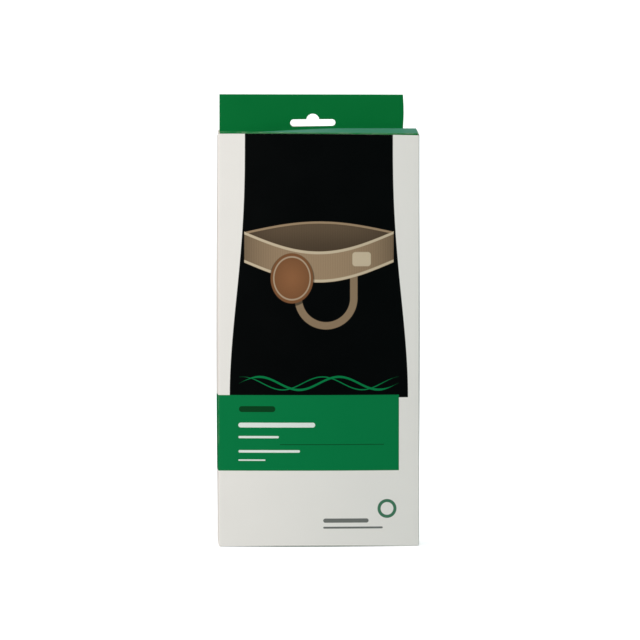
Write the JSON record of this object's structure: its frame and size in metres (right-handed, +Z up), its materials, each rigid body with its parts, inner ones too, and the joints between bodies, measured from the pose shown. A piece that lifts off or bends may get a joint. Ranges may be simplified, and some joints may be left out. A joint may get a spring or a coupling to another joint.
{
  "type": "hernia belt retail carton",
  "caption": "Upright hanging carton of folded board with a bowed front, a doubled header with a Euro hang slot, and a hinged lid with a tuck flap.",
  "frame": {"origin": "on the floor, under the middle of the carton", "axes": "+Z up along the carton's height, the printed front faces -Y, +X to the right seen from the front"},
  "size_m": [0.1435, 0.047, 0.3168],
  "materials": {
    "white_print": "coated folding boxboard, off-white with a printed front, satin varnish",
    "green_print": "coated folding boxboard printed solid green, satin varnish",
    "bare_board": "uncoated grey-white reverse of the board, matt"
  },
  "bodies": {
    "carton": {"front_panel": "white_print", "back_panel": "white_print", "left_side_panel": "white_print", "right_side_panel": "white_print", "glue_flap": "bare_board", "hang_header": "green_print", "bottom_panel": "green_print", "bottom_tuck_flap": "green_print", "top_dust_flap_left": "bare_board", "top_dust_flap_right": "bare_board", "bottom_dust_flap_left": "bare_board", "bottom_dust_flap_right": "bare_board"},
    "lid": {"top_panel": "green_print", "tuck_flap": "green_print"}
  },
  "joints": [
    {"name": "lid_hinge", "type": "hinge", "parent": "carton", "child": "lid", "pos_m": [0, 0.01845, 0.29225], "axis": [-1, 0, 0], "range_deg": [0, 88]}
  ]
}
